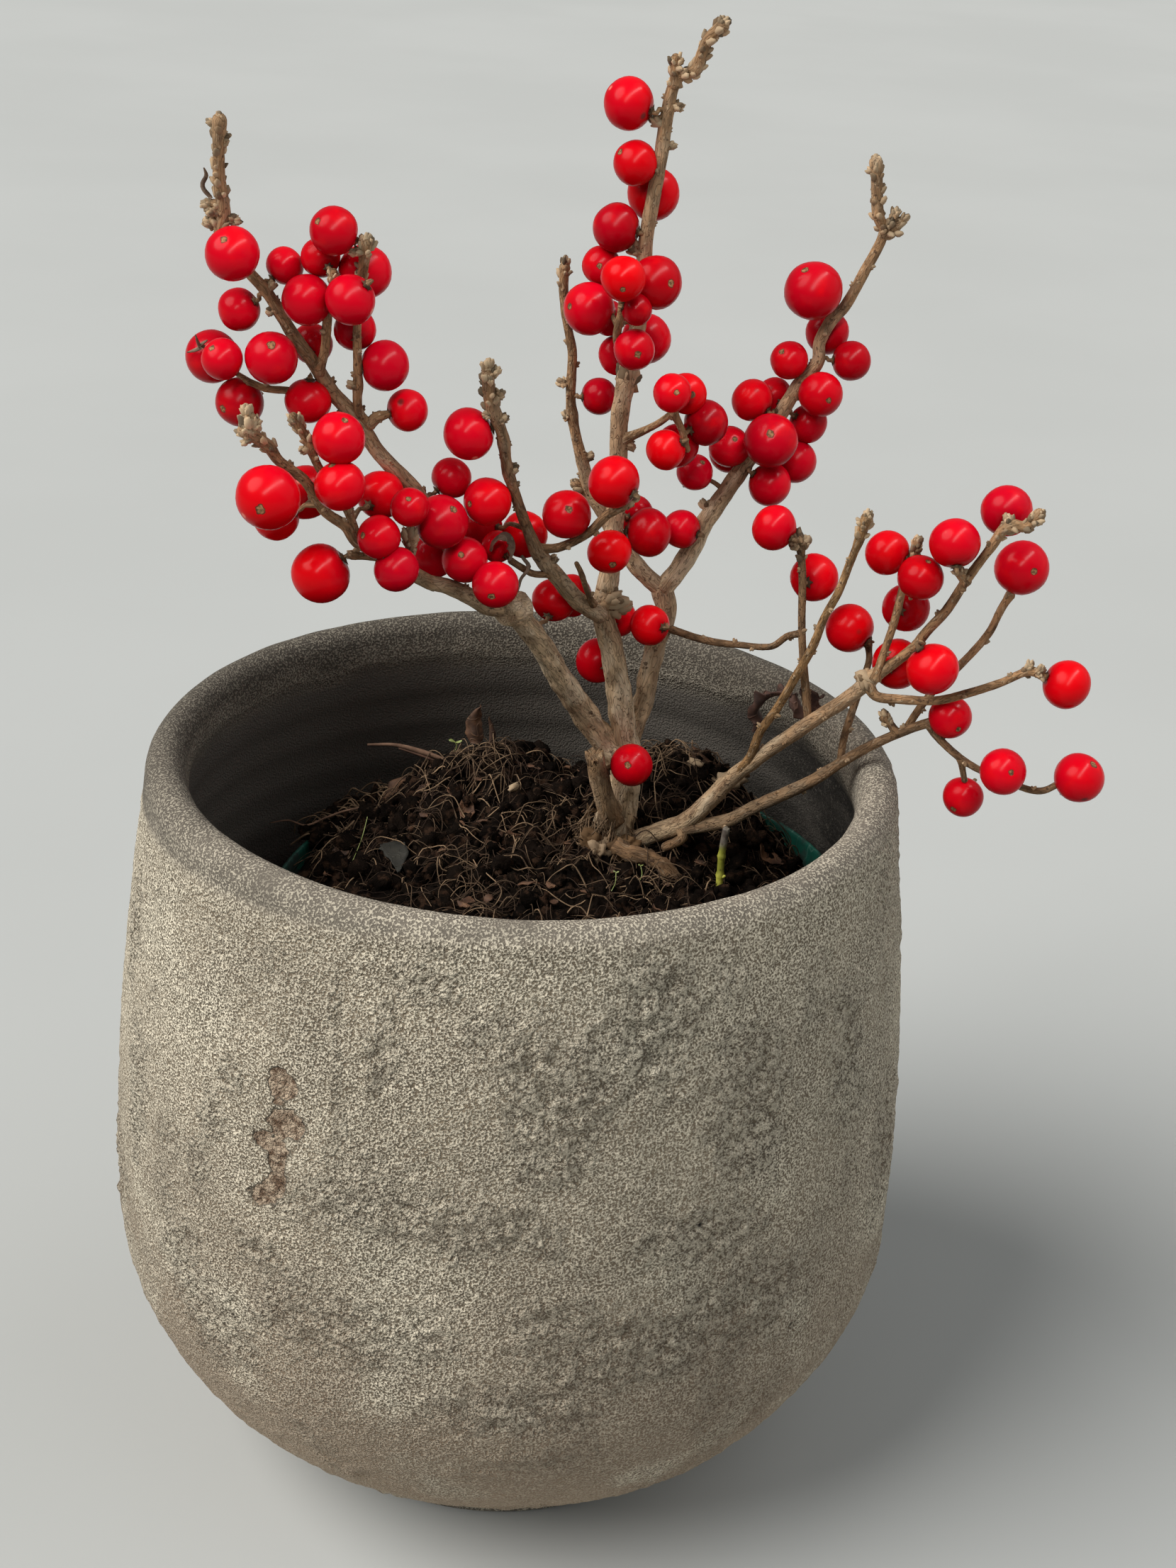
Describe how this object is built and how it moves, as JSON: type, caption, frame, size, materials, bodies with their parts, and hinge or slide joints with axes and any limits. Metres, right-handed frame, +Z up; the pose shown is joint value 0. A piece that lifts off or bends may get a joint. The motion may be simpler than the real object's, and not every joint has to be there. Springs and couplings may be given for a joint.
{
  "type": "potted winterberry holly",
  "caption": "Leafless winterberry holly with clusters of glossy red berries on bare twigs, growing in a plastic nursery pot of soil set inside a rough round-bellied stoneware planter.",
  "frame": {"origin": "centre of the flat base of the planter, on the surface that it stands on", "axes": "+Z up along the planter's axis, +X to the right as seen from the front, the front faces -Y"},
  "size_m": [0.2037, 0.1724, 0.3038],
  "materials": {
    "stoneware": "matte",
    "teal_plastic": "satin",
    "peat": "matte",
    "bark": "matte",
    "berry_red": "gloss",
    "young_bark": "matte",
    "green_stick": "satin"
  },
  "bodies": {
    "root": {"planter": "stoneware", "nursery_pot": "teal_plastic", "soil": "peat", "framework": "bark", "centre_spray": "berry_red", "thin_spray": "berry_red", "right_spray": "berry_red", "upper_left_spray": "berry_red", "lower_left_spray": "berry_red", "front_left_spray": "berry_red", "far_right_spray": "berry_red", "yellow_shoot": "young_bark", "lower_right_spray": "berry_red", "low_twig": "berry_red", "outer_twig": "berry_red", "crossing_twig": "berry_red", "cut_stick": "green_stick"}
  },
  "joints": []
}
